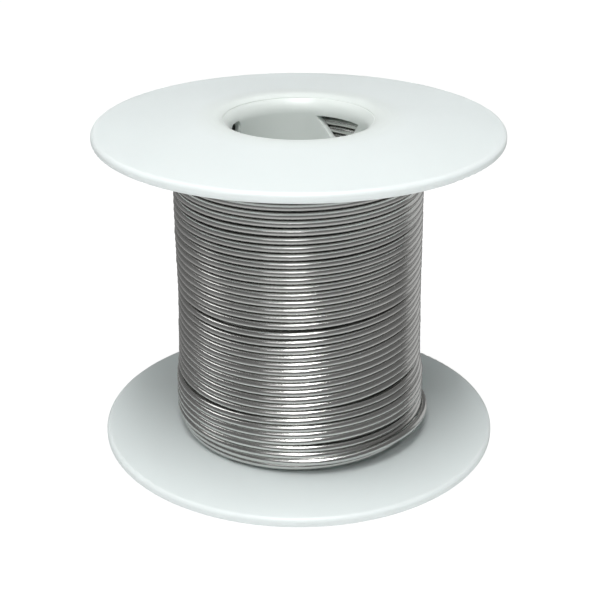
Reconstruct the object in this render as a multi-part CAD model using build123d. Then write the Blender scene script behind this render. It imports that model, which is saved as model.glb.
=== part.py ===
from build123d import *
import math
import os

# Solder wire on a small plastic spool, in millimetres.
# The spool's axis is Z, and +X is to the right of a viewer who looks along +Y. The spool is one
# moulding and the wire is one piece: its winding is held here as closed solids of its outer shape.
# Heights are measured from the lower rim's outer face. The hub stands out past the rims, so each
# solid is lifted at the end, and the origin is the centre of the lower hub's face.

INCH = 25.4

# The spool: a two-inch flange on a barrel for a five-eighths spindle
flange_diameter = 2.0 * INCH
rim_to_rim = 1.625 * INCH
flange_thickness = 0.05 * INCH
hub_rise = 1.2
hub_land = 0.8
spindle_diameter = 0.625 * INCH
spindle_play = 0.925
barrel_wall = 0.8
rim_fillet = 0.5
mouth_fillet = 2.2
core_line_angle = 36.0
core_line_size = 0.08

# Openings through the barrel, beside each flange
window_width = 6.8
window_depth = 4.6
window_bearings = (51.0, 231.0)
start_slot_width = 3.1
start_slot_height = 4.0
start_slot_rise = 0.6
start_slot_corner = 0.8
start_slot_bearing = 161.0

# The wire and its winding
wire_diameter = 0.9
layer_count = 8
side_gap = 0.1
winding_radius = 15.7
lower_turn_radius = 15.85
waist_height = 21.0
swell_height = 12.0
last_turns_radius = 16.6
last_turns_top = 8.4
last_turns_shoulder = 0.6
last_turns_offset = 0.55
foot_radius = 15.6
foot_height = 1.5
start_end_inset = 0.2

flange_radius = flange_diameter / 2
bore_radius = (spindle_diameter + spindle_play) / 2
barrel_radius = bore_radius + barrel_wall
mouth_radius = bore_radius + mouth_fillet
winding_bottom = flange_thickness + side_gap
winding_top = rim_to_rim - flange_thickness - side_gap
layer_step = (winding_radius - barrel_radius - wire_diameter) / (layer_count - 1)
outer_layer_inside = winding_radius - layer_step


def disc(radius, low, high):
    """A solid cylinder on the spool's axis, from one height to another."""
    return Pos(0, 0, low) * Cylinder(radius, high - low, align=(Align.CENTER, Align.CENTER, Align.MIN))


def circles_of(shape, radius):
    """The circular edges of one radius."""
    circles = shape.edges().filter_by(GeomType.CIRCLE)
    return circles.filter_by(lambda edge: abs(edge.radius - radius) < 1e-6)


def turned(outline):
    """The solid that a closed outline of (radius, height) points makes when it turns about the axis."""
    face = make_face(Plane.XZ * Polyline(*outline, close=True))
    return revolve(face, Axis.Z)


def through_barrel(outline_face, bearing):
    """A flat outline in (across, height), extruded outwards through the barrel's wall at one bearing."""
    start = bore_radius / 2
    wall_plane = Plane(origin=(start, 0, 0), x_dir=(0, 1, 0), z_dir=(1, 0, 0))
    cutter = extrude(wall_plane * outline_face, barrel_radius - start)
    return Rot(0, 0, bearing) * cutter


def start_slot_face(flange_side):
    """The start slot's rounded outline. It begins a little inside the upper flange's thickness."""
    centre = flange_side + start_slot_rise - start_slot_height / 2
    return Pos(0, centre) * RectangleRounded(start_slot_width, start_slot_height, start_slot_corner)


def window_face(flange_side):
    """A V-shaped window: its flat side lies along the flange."""
    half = window_width / 2
    point = flange_side - window_depth
    return make_face(Polyline((-half, flange_side), (half, flange_side), (0, point), close=True))


def end_openings():
    """The windows and the start slot beside the upper flange."""
    flange_side = rim_to_rim - flange_thickness
    cutters = [through_barrel(window_face(flange_side), bearing) for bearing in window_bearings]
    cutters.append(through_barrel(start_slot_face(flange_side), start_slot_bearing))
    return cutters


def turned_over(shape):
    """The same shape at the other end, as if the spool were turned over about the X axis."""
    return Pos(0, 0, rim_to_rim) * Rot(180, 0, 0) * shape


def core_line():
    """A fine groove round the upper mouth's rounding, where the mould's core pin met its face."""
    angle = math.radians(core_line_angle)
    radius = mouth_radius - mouth_fillet * math.sin(angle)
    level = rim_to_rim + hub_rise - mouth_fillet + mouth_fillet * math.cos(angle)
    return Pos(0, 0, level) * Torus(radius, core_line_size)


def make_spool():
    """Two flanges and a barrel in one moulding. Each flange thickens to the hub, where the bore flares."""
    middle = rim_to_rim / 2
    half = [
        (bore_radius, middle),
        (bore_radius, rim_to_rim + hub_rise),
        (mouth_radius + hub_land, rim_to_rim + hub_rise),
        (flange_radius, rim_to_rim),
        (flange_radius, rim_to_rim - flange_thickness),
        (barrel_radius, rim_to_rim - flange_thickness),
        (barrel_radius, middle),
    ]
    upper = turned(half)
    upper = fillet(circles_of(upper, flange_radius), rim_fillet)
    mouth_edge = circles_of(upper, bore_radius).sort_by(Axis.Z)[-1]
    upper = fillet(mouth_edge, mouth_fillet) - core_line()
    for cutter in end_openings():
        upper -= cutter
    return upper + turned_over(upper)


def make_inner_layers():
    """The layers under the visible one, as a sleeve that sits on the barrel."""
    sleeve = disc(outer_layer_inside, winding_bottom, winding_top)
    return sleeve - disc(barrel_radius, winding_bottom, winding_top)


def make_outer_layer():
    """The visible layer down to the last turns, a little wider low down."""
    return turned([
        (outer_layer_inside, last_turns_top),
        (lower_turn_radius, last_turns_top),
        (lower_turn_radius, swell_height),
        (winding_radius, waist_height),
        (winding_radius, winding_top),
        (outer_layer_inside, winding_top),
    ])


def make_last_turns():
    """The last few turns at the lower flange: slack, so they bulge to one side, and tucked in at the foot."""
    slack_turns = turned([
        (0, winding_bottom),
        (foot_radius, winding_bottom),
        (last_turns_radius, winding_bottom + foot_height),
        (last_turns_radius, last_turns_top - last_turns_shoulder),
        (lower_turn_radius, last_turns_top),
        (0, last_turns_top),
    ])
    return Pos(last_turns_offset, 0, 0) * slack_turns - disc(outer_layer_inside, winding_bottom, last_turns_top)


def make_start_end():
    """The wire's inner end, which turns in through the lower start slot and stops short of the bore."""
    inner_end = bore_radius + start_end_inset
    height = winding_bottom + wire_diameter / 2
    along_x = Plane(origin=(inner_end, 0, height), z_dir=(1, 0, 0))
    stub = extrude(along_x * Circle(wire_diameter / 2), barrel_radius - inner_end + wire_diameter)
    return (Rot(0, 0, -start_slot_bearing) * stub) & disc(barrel_radius, 0, rim_to_rim)


def lifted_solid(shape):
    """The one solid of a shape, lifted so that the lower hub's face is at height 0."""
    solids = (Pos(0, 0, hub_rise) * shape).solids()
    assert len(solids) == 1, "a sub-part has to be one solid"
    return solids[0]


NODES = {
    "spool_body": make_spool,
    "wire_start_end": make_start_end,
    "wire_inner_layers": make_inner_layers,
    "wire_outer_layer": make_outer_layer,
    "wire_last_turns": make_last_turns,
}

os.makedirs("parts", exist_ok=True)
for node, make in NODES.items():
    export_step(lifted_solid(make()), f"parts/{node}.step")

mean_radius = (barrel_radius + winding_radius) / 2
turns_in_layer = (winding_top - winding_bottom) / wire_diameter
wire_length = layer_count * turns_in_layer * 2 * math.pi * mean_radius
print(f"layer step {layer_step:.3f} mm, wire at most {wire_length / 1000:.1f} m in the full layers")
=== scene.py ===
"""Solder wire spool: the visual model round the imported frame. Metres, Z up, one root body.

A bearing is measured from the front, where the camera is, and is positive to the right. A height in the
winding is over the lower rim's outer face, which lies above the ground by the hub's rise.
"""
import math
import random

import bpy
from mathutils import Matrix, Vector


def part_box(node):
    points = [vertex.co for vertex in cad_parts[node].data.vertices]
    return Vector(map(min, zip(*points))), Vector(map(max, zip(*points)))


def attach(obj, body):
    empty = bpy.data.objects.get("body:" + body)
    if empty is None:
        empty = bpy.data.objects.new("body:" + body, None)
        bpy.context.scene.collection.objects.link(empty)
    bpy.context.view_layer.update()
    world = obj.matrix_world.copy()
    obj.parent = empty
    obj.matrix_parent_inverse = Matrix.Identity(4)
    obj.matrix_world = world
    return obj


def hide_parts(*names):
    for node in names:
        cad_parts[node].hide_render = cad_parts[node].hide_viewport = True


MM = 0.001
TURN = 2 * math.pi

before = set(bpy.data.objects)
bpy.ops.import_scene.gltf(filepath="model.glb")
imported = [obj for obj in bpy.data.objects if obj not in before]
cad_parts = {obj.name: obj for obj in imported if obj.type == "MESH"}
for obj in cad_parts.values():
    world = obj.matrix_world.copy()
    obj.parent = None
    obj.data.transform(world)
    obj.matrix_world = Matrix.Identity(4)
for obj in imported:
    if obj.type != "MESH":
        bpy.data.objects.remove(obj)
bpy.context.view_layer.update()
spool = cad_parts["spool_body"]
spool_low, spool_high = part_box("spool_body")
spool_height = spool_high.z - spool_low.z
winding_low, winding_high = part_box("wire_inner_layers")
slack_turns_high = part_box("wire_last_turns")[1]
hub_rise = 1.2 * MM

# The wire and its layers
wire_diameter = 0.9 * MM
wire_radius = wire_diameter / 2
bore_radius = 8.4 * MM
barrel_radius = 9.2 * MM
layer_step = 0.8 * MM
layer_count = 8
visible_layer = layer_count - 1
pitch = 0.972 * MM
first_height = winding_low.z - hub_rise + wire_radius
last_height = winding_high.z - hub_rise - wire_radius
climb_turns = 0.6

# Where the wire starts, in the lower slot
start_bearing = math.radians(289)
start_end_inset = 0.2 * MM
start_corner_inset = 0.35 * MM

# A fade, here and below, is a height and the reach from it in which something comes in.
# The slant of the visible turns, which is steeper round one height
slant_size = 0.78 * MM
slant_lift = 0.2 * MM
slant_low_fade = (2.5 * MM, 10 * MM)
slant_high_fade = (last_height, 12.5 * MM)
slant_low_bearing = math.radians(-33)
steep_size = 0.3 * MM
steep_height = 18 * MM
steep_reach = 5 * MM

# Where turns have been pushed apart: height, middle bearing, half width in degrees, opening
OPENINGS = (
    (20.9 * MM, -5, 120, 0.13 * MM),
    (10.1 * MM, 46, 38, 0.6 * MM),
    (9.2 * MM, -74, 52, 0.72 * MM),
    (5.4 * MM, 36, 48, 0.6 * MM),
)
push_reach = 5.5 * MM
push_down_fade = (first_height, 7 * MM)

# How far the winding stands out low down, and is tucked in at the foot
swell_size = 0.15 * MM
swell_fade = (21 * MM, 9 * MM)
slack_size = 0.32 * MM
slack_to_right = 0.15
slack_fade = (slack_turns_high.z - hub_rise + 2 * MM, 2.5 * MM)
foot_tuck = 0.7 * MM
foot_fade = (3.8 * MM, 2 * MM)
foot_gap = 2.1 * MM

# How far the winding is from round: narrower across, with a waist and a lean
narrow_size = 0.06 * MM
waist_size = 0.1 * MM
waist_low_fade = (9 * MM, 3 * MM)
waist_high_fade = (29 * MM, 12 * MM)
lean_size = 0.08 * MM
lean_change = 0.14 * MM
lean_fade = (18 * MM, 16 * MM)

# The loose loop, placed in turns before the winding's end, and the tail after it
loop_middle = 1.43
loop_half_width = 0.22
loop_out = 1.35 * MM
loop_lift = 1.1 * MM
tail_steps = 4
tail_tuck = 1.0 * MM

# The small unevenness of the visible turns
WANDER_WAVES = (0.31, 0.77, 1.31, 2.17, 3.3)
wander_seed = 12
height_wander = 0.06 * MM
radial_wander = 0.05 * MM
radial_wander_rate = 1.7

# The wire's control points and rings
points_per_turn = 12
point_angle = TURN / points_per_turn
rings_per_point = 6
tube_sides = 12

# Between these heights over the ground next to nothing of the innermost turns shows in the windows
hidden_low = 6 * MM
hidden_high = spool_height - 7 * MM


# ---------------------------------------------------------------- wire route


def smooth(value):
    """0 below 0, 1 above 1, and an easy curve between."""
    t = min(1.0, max(0.0, value))
    return t * t * (3 - 2 * t)


def bump(value):
    """1 at 0, falling smoothly to 0 at 1 and -1."""
    return smooth(1 - abs(value))


def above(z, height, reach):
    """0 up to a height, and 1 from a reach above it."""
    return smooth((z - height) / reach)


def below(z, height, reach):
    """0 down to a height, and 1 from a reach below it."""
    return smooth((height - z) / reach)


def degrees_from_front(bearing):
    """The bearing in degrees, from -180 to 180."""
    return (math.degrees(bearing) + 180) % 360 - 180


def polar(radius, bearing, z):
    """The point at a radius, a bearing and a height in the winding."""
    return Vector((radius * math.sin(bearing), -radius * math.cos(bearing), hub_rise + z))


def pushed(z, bearing):
    """How far a visible turn at this height has been pushed up or down by the openings."""
    moved = 0.0
    for place, middle, half_width, opening in OPENINGS:
        share = bump((degrees_from_front(bearing) - middle) / half_width)
        away = z - place
        side = 1 if away > 0 else -above(z, *push_down_fade)
        moved += side * opening / 2 * share * math.exp(-abs(away) / push_reach)
    return moved


def slant(z, bearing):
    """The visible turns lie on a slant: high at the back right, low at the front left."""
    share = above(z, *slant_low_fade) * below(z, *slant_high_fade)
    amount = slant_size * share + steep_size * bump((z - steep_height) / steep_reach)
    return slant_lift * share - amount * math.cos(bearing - slant_low_bearing)


def bulge(z, bearing):
    """How far the visible layer stands out: most in the slack turns low down, and tucked in at the foot."""
    swell = swell_size * below(z, *swell_fade)
    slack = slack_size * below(z, *slack_fade) * (1 + slack_to_right * math.sin(bearing))
    foot = foot_tuck * below(z, *foot_fade)
    return swell + slack - foot - out_of_round(z, bearing)


def out_of_round(z, bearing):
    """How far the winding stands in at the sides: a waist at mid height, and a slight lean."""
    across = math.sin(bearing)
    waist = below(z, *waist_high_fade) * above(z, *waist_low_fade)
    lean = lean_size - lean_change * above(z, *lean_fade)
    return (narrow_size + waist_size * waist) * across ** 2 - lean * across


def uneven(travelled, phases, size):
    """A small slow wander along the wire."""
    return size * sum(math.sin(travelled * waves + phase) for waves, phase in phases) / len(phases)


def lead_in():
    """The wire's first points: in through the lower slot and round on to the barrel."""
    on_barrel = barrel_radius + wire_radius
    inner_end = bore_radius + start_end_inset
    radius_and_degrees = (
        (inner_end, 5),
        (on_barrel - start_corner_inset, 3),
        (on_barrel, -4),
        (on_barrel, -14),
    )
    return [
        polar(radius, start_bearing + math.radians(degrees), first_height)
        for radius, degrees in radius_and_degrees
    ]


def plain_turn(layer, i, steps, bearing):
    """The radius and height of point i of a layer, before anything that only the visible layer does.

    Every second layer comes down. A layer starts at the radius of the one beneath and climbs on to it.
    It takes a share of the visible layer's bulge, larger the nearer it lies to that layer. The one under
    the visible layer starts higher, because the foot is tucked in there.
    """
    low = first_height + (foot_gap if layer == visible_layer - 1 else 0)
    rise = i / steps if layer % 2 == 0 else max(0, 1 - i / steps)
    z = low + rise * (last_height - low)
    radius = barrel_radius + wire_radius + layer * layer_step
    radius += bulge(z, bearing) * layer / visible_layer
    if layer > 0:
        radius -= layer_step * smooth(1 - i / (points_per_turn * climb_turns))
    return radius, z


def visible_turn(radius, z, bearing, steps_left, phases):
    """The same point as it lies on the visible layer: slanted, pushed, uneven, in the loop or the tail."""
    loop = bump((steps_left / points_per_turn - loop_middle) / loop_half_width)
    radius += loop_out * loop + uneven(-bearing * radial_wander_rate, phases, radial_wander)
    radius -= tail_tuck * max(0, -steps_left) / tail_steps
    z += slant(z, bearing) + pushed(z, bearing) + uneven(-bearing, phases, height_wander)
    z = max(z, first_height) + loop_lift * loop ** 3
    return radius, z


def route():
    """The wire's control points, and which layer each belongs to."""
    rng = random.Random(wander_seed)
    phases = [(waves, rng.uniform(0, TURN)) for waves in WANDER_WAVES]
    steps = round((last_height - first_height) / pitch * points_per_turn)
    # The spline touches the middle of each side between points, so the points stand out by this factor.
    spread = 1 / math.cos(math.pi / points_per_turn)
    points = lead_in()
    layers = [0] * len(points)
    bearing = start_bearing - point_angle
    for layer in range(layer_count):
        visible = layer == visible_layer
        for i in range(steps + tail_steps * visible):
            radius, z = plain_turn(layer, i, steps, bearing)
            if visible:
                radius, z = visible_turn(radius, z, bearing, steps - i, phases)
            points.append(polar(radius * spread, bearing, z))
            layers.append(layer)
            bearing -= point_angle
    return points, layers


# ---------------------------------------------------------------- wire mesh


def placed(name, data):
    """A new object in the scene with this mesh, curve, lamp or camera."""
    obj = bpy.data.objects.new(name, data)
    bpy.context.scene.collection.objects.link(obj)
    return obj


def spline_points(points):
    """The smooth line through the route: a NURBS spline, read back as points."""
    curve = bpy.data.curves.new("wire_route", "CURVE")
    curve.dimensions = "3D"
    spline = curve.splines.new("NURBS")
    spline.points.add(len(points) - 1)
    for knot, point in zip(spline.points, points):
        knot.co = (*point, 1)
    spline.order_u = 3
    spline.use_endpoint_u = True
    spline.resolution_u = rings_per_point
    curve.resolution_u = rings_per_point
    holder = placed("wire_route", curve)
    mesh = bpy.data.meshes.new_from_object(holder)
    line = [v.co.copy() for v in mesh.vertices]
    bpy.data.objects.remove(holder)
    bpy.data.curves.remove(curve)
    bpy.data.meshes.remove(mesh)
    return line


def ring_stride(layer, z):
    """One ring in how many is kept: all on the visible layer and in the windows, fewest in between.

    The innermost layer keeps every second ring elsewhere, so that it stays round on the barrel.
    """
    if layer == visible_layer:
        return 1
    if layer == visible_layer - 1:
        return 3
    if layer > 0:
        return 6
    return 2 if hidden_low < z < hidden_high else 1


def thinned(line, layers):
    """The line with fewer points where the wire is buried."""
    kept = []
    for i, point in enumerate(line):
        layer = layers[min(len(layers) - 1, i // rings_per_point)]
        if i % ring_stride(layer, point.z) == 0 or i == len(line) - 1:
            kept.append(point)
    return kept


def rings_along(line, radius):
    """The corners of a ring at each point of the line, and how far along the line each ring is."""
    # Midway between a ring inside the wire's circle and one outside it
    corner_radius = 2 * radius / (1 + math.cos(math.pi / tube_sides))
    turns = [TURN * (k / tube_sides + 0.5) for k in range(tube_sides)]
    ring = [(math.cos(turn), math.sin(turn)) for turn in turns]
    corners, along = [], []
    travelled = 0.0
    for i, point in enumerate(line):
        before = line[max(0, i - 1)]
        after = line[min(len(line) - 1, i + 1)]
        ahead = (after - before).normalized()
        out = Vector((point.x, point.y, 0)).normalized()
        side = ahead.cross(out).normalized()
        out = side.cross(ahead)
        travelled += (point - before).length
        along.append(travelled)
        corners += [point + corner_radius * (c * out + s * side) for c, s in ring]
    return corners, along


def tube(name, line, radius):
    """A round tube along the line, with closed ends and a UV map along and around it."""
    corners, along = rings_along(line, radius)
    faces, uvs = [], []
    for i in range(len(line) - 1):
        a, b = i * tube_sides, (i + 1) * tube_sides
        for k in range(tube_sides):
            n = (k + 1) % tube_sides
            faces.append((a + k, b + k, b + n, a + n))
            left, right = k / tube_sides, (k + 1) / tube_sides
            uvs += [along[i], left, along[i + 1], left, along[i + 1], right, along[i], right]
    last = (len(line) - 1) * tube_sides
    faces.append(tuple(range(tube_sides)))
    faces.append(tuple(last + k for k in reversed(range(tube_sides))))
    uvs += [0.0] * (4 * tube_sides)
    mesh = bpy.data.meshes.new(name)
    mesh.from_pydata(corners, [], faces)
    mesh.polygons.foreach_set("use_smooth", [True] * (len(faces) - 2) + [False, False])
    mesh.uv_layers.new(name="along_wire").data.foreach_set("uv", uvs)
    mesh.update()
    return placed(name, mesh)


# ---------------------------------------------------------------- materials

bright_metal = (0.70, 0.70, 0.68)
dull_metal = (0.61, 0.61, 0.595)
# The hub colour is the plastic darkened with painted shade for the mouth and the bore. It is full inside
# the first radius below and fades out by the second.
hub_plastic_in_painted_shade = (0.69, 0.735, 0.71)
flange_plastic = (0.73, 0.78, 0.775)
painted_shade_full_radius = 9.4 * MM
painted_shade_end_radius = 13.5 * MM
floor_grey = (0.16, 0.16, 0.16)
floor_glow = 0.93


def new_material(name):
    """A material with nodes, and its Principled shader."""
    material = bpy.data.materials.new(name)
    material.use_nodes = True
    return material, material.node_tree.nodes["Principled BSDF"]


def noise(tree, place, scale, stretch=(1, 1, 1)):
    """Noise over a place output, finer with a higher scale or stretch."""
    mapping = tree.nodes.new("ShaderNodeMapping")
    mapping.inputs["Scale"].default_value = stretch
    texture = tree.nodes.new("ShaderNodeTexNoise")
    texture.inputs["Scale"].default_value = scale
    texture.inputs["Detail"].default_value = 3
    tree.links.new(place, mapping.inputs["Vector"])
    tree.links.new(mapping.outputs["Vector"], texture.inputs["Vector"])
    return texture.outputs["Fac"]


def between(tree, amount, low, high, start=0.3, end=0.7):
    """A value that goes from low to high as the amount goes from start to end."""
    span = tree.nodes.new("ShaderNodeMapRange")
    for name, value in (("From Min", start), ("From Max", end), ("To Min", low), ("To Max", high)):
        span.inputs[name].default_value = value
    tree.links.new(amount, span.inputs["Value"])
    return span.outputs["Result"]


def mixed(tree, amount, first, second):
    """A colour between two."""
    mix = tree.nodes.new("ShaderNodeMix")
    mix.data_type = "RGBA"
    mix.inputs["A"].default_value = (*first, 1)
    mix.inputs["B"].default_value = (*second, 1)
    tree.links.new(amount, mix.inputs["Factor"])
    return mix.outputs["Result"]


def roughened(tree, shader, amount, strength, depth):
    """A bump of this strength and depth on the shader."""
    bumps = tree.nodes.new("ShaderNodeBump")
    bumps.inputs["Strength"].default_value = strength
    bumps.inputs["Distance"].default_value = depth
    tree.links.new(amount, bumps.inputs["Height"])
    tree.links.new(bumps.outputs["Normal"], shader.inputs["Normal"])


def distance_from_axis(tree, place):
    """How far a place is from the spool's axis."""
    flat = tree.nodes.new("ShaderNodeVectorMath")
    flat.operation = "MULTIPLY"
    flat.inputs[1].default_value = (1, 1, 0)
    radius = tree.nodes.new("ShaderNodeVectorMath")
    radius.operation = "LENGTH"
    tree.links.new(place, flat.inputs[0])
    tree.links.new(flat.outputs["Vector"], radius.inputs[0])
    return radius.outputs["Value"]


def solder_material():
    """Drawn bright metal: lines along the wire, and slow changes from bright to slightly dull."""
    material, shader = new_material("solder_wire")
    tree = material.node_tree
    along = tree.nodes.new("ShaderNodeUVMap")
    along.uv_map = "along_wire"
    place = along.outputs["UV"]
    dull = noise(tree, place, scale=1.0, stretch=(22, 1.5, 1))
    lines = noise(tree, place, scale=1.0, stretch=(45, 22, 1))
    colour = mixed(tree, between(tree, dull, low=0, high=1), bright_metal, dull_metal)
    tree.links.new(colour, shader.inputs["Base Color"])
    tree.links.new(between(tree, lines, low=0.17, high=0.23), shader.inputs["Roughness"])
    shader.inputs["Metallic"].default_value = 1.0
    roughened(tree, shader, lines, strength=0.15, depth=0.004 * MM)
    return material


def plastic_material():
    """Natural white moulded plastic, slightly cool and translucent, with painted shade: its colour darkens
    towards the hub and in the bore.
    """
    material, shader = new_material("spool_plastic")
    tree = material.node_tree
    place = tree.nodes.new("ShaderNodeTexCoord").outputs["Object"]
    radius = distance_from_axis(tree, place)
    # Painted shade: nearer the axis, the colour darkens from the flange's colour towards the hub's.
    out_of_painted_shade = between(tree, radius, low=0, high=1, start=painted_shade_full_radius, end=painted_shade_end_radius)
    tree.links.new(mixed(tree, out_of_painted_shade, hub_plastic_in_painted_shade, flange_plastic), shader.inputs["Base Color"])
    cloud = noise(tree, place, scale=140)
    tree.links.new(between(tree, cloud, low=0.33, high=0.43), shader.inputs["Roughness"])
    shader.inputs["IOR"].default_value = 1.49
    shader.inputs["Subsurface Weight"].default_value = 0.35
    shader.inputs["Subsurface Scale"].default_value = 1.5 * MM
    shader.inputs["Subsurface Radius"].default_value = (1.0, 1.0, 1.0)
    grain = noise(tree, place, scale=900)
    roughened(tree, shader, grain, strength=0.2, depth=0.01 * MM)
    return material


def floor_material():
    """A floor that glows like a light table: its own colour is a dark grey, so hardly any shadow shows."""
    material, shader = new_material("studio_floor")
    shader.inputs["Base Color"].default_value = (*floor_grey, 1)
    shader.inputs["Roughness"].default_value = 0.9
    shader.inputs["Emission Color"].default_value = (1, 1, 1, 1)
    shader.inputs["Emission Strength"].default_value = floor_glow
    return material


# ---------------------------------------------------------------- stage

floor_reach = 1.6

# The room's brightness by elevation in degrees: darkest over the horizon, and bright below it
ROOM = ((-90, 0.7), (-50, 0.65), (-20, 0.26), (22, 0.14), (45, 0.16), (60, 0.2), (90, 0.3))

# The camera looks down at a point on the upper part of the spool. The shift is in picture widths.
camera_distance = 166.8 * MM
camera_down = math.radians(20.845)
camera_target = Vector((0.15 * MM, 0, 28.68 * MM + hub_rise))
camera_lens = 79.25
camera_sensor = 36
camera_shift = -2 / 15


def make_floor():
    """A wide floor under the spool, which doesn't show in reflections."""
    corners = [(-1, -1), (1, -1), (1, 1), (-1, 1)]
    mesh = bpy.data.meshes.new("floor")
    mesh.from_pydata([(floor_reach * x, floor_reach * y, 0) for x, y in corners], [], [(0, 1, 2, 3)])
    floor = placed("floor", mesh)
    floor.data.materials.append(floor_material())
    floor.visible_glossy = False


def direction(bearing, elevation):
    """The unit vector towards a bearing and an elevation, in degrees."""
    bearing, elevation = math.radians(bearing), math.radians(elevation)
    across = math.cos(elevation)
    return Vector((across * math.sin(bearing), -across * math.cos(bearing), math.sin(elevation)))


def softbox(name, bearing, elevation, size, brightness, distance=1.0):
    """A rectangular area lamp of one brightness that looks at the spool."""
    lamp = bpy.data.lights.new(name, "AREA")
    lamp.shape = "RECTANGLE"
    lamp.size, lamp.size_y = size
    lamp.energy = brightness * math.pi * lamp.size * lamp.size_y
    towards = direction(bearing, elevation)
    box = placed(name, lamp)
    box.location = Vector((0, 0, spool_height / 2)) + distance * towards
    box.rotation_euler = (-towards).to_track_quat("-Z", "Y").to_euler()


def make_lights():
    """Soft studio light: a close box overhead, two in front, one at the left and one at the back right."""
    softbox("top_box", bearing=-1, elevation=70, size=(0.12, 0.23), brightness=14.9, distance=0.38)
    softbox("front_box", bearing=-4, elevation=38, size=(0.27, 0.36), brightness=4.0)
    softbox("front_fill", bearing=-24, elevation=34, size=(0.3, 0.4), brightness=1.1)
    softbox("left_box", bearing=-104, elevation=48, size=(0.34, 0.46), brightness=2.1)
    softbox("right_box", bearing=132, elevation=10, size=(0.7, 0.6), brightness=0.44)


def make_world():
    """A room whose brightness changes with elevation only."""
    world = bpy.data.worlds.new("room")
    bpy.context.scene.world = world
    world.use_nodes = True
    tree = world.node_tree
    place = tree.nodes.new("ShaderNodeTexCoord")
    parts = tree.nodes.new("ShaderNodeSeparateXYZ")
    level = tree.nodes.new("ShaderNodeMapRange")
    ramp = tree.nodes.new("ShaderNodeValToRGB")
    tree.links.new(place.outputs["Generated"], parts.inputs[0])
    tree.links.new(parts.outputs["Z"], level.inputs["Value"])
    level.inputs["From Min"].default_value = -1
    tree.links.new(level.outputs["Result"], ramp.inputs["Fac"])
    tree.links.new(ramp.outputs["Color"], tree.nodes["Background"].inputs["Color"])
    stops = ramp.color_ramp.elements
    stops.remove(stops[1])
    for i, (elevation, brightness) in enumerate(ROOM):
        position = (1 + math.sin(math.radians(elevation))) / 2
        stop = stops[0] if i == 0 else stops.new(position)
        stop.position = position
        stop.color = (brightness, brightness, brightness, 1)


def make_camera():
    """The camera, in front of the spool and above it."""
    data = bpy.data.cameras.new("camera")
    data.sensor_width = camera_sensor
    data.lens = camera_lens
    data.shift_y = camera_shift
    data.clip_start = 0.01
    data.clip_end = 10
    camera = placed("camera", data)
    back = Vector((0, -math.cos(camera_down), math.sin(camera_down)))
    camera.location = camera_target + camera_distance * back
    camera.rotation_euler = (math.pi / 2 - camera_down, 0, 0)
    bpy.context.scene.camera = camera


# ---------------------------------------------------------------- assembly


def make_wire():
    """The whole wire as one piece, wound on the barrel."""
    points, layers = route()
    line = thinned(spline_points(points), layers)
    wire = tube("solder_wire", line, wire_radius)
    wire.data.materials.append(solder_material())
    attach(wire, "root")
    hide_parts("wire_start_end", "wire_inner_layers", "wire_outer_layer", "wire_last_turns")


def dress_spool():
    """The CAD spool stays and takes the plastic."""
    spool.data.materials.clear()
    spool.data.materials.append(plastic_material())


make_wire()
dress_spool()
make_floor()
make_lights()
make_world()
make_camera()
bpy.context.scene.view_settings.view_transform = "Standard"
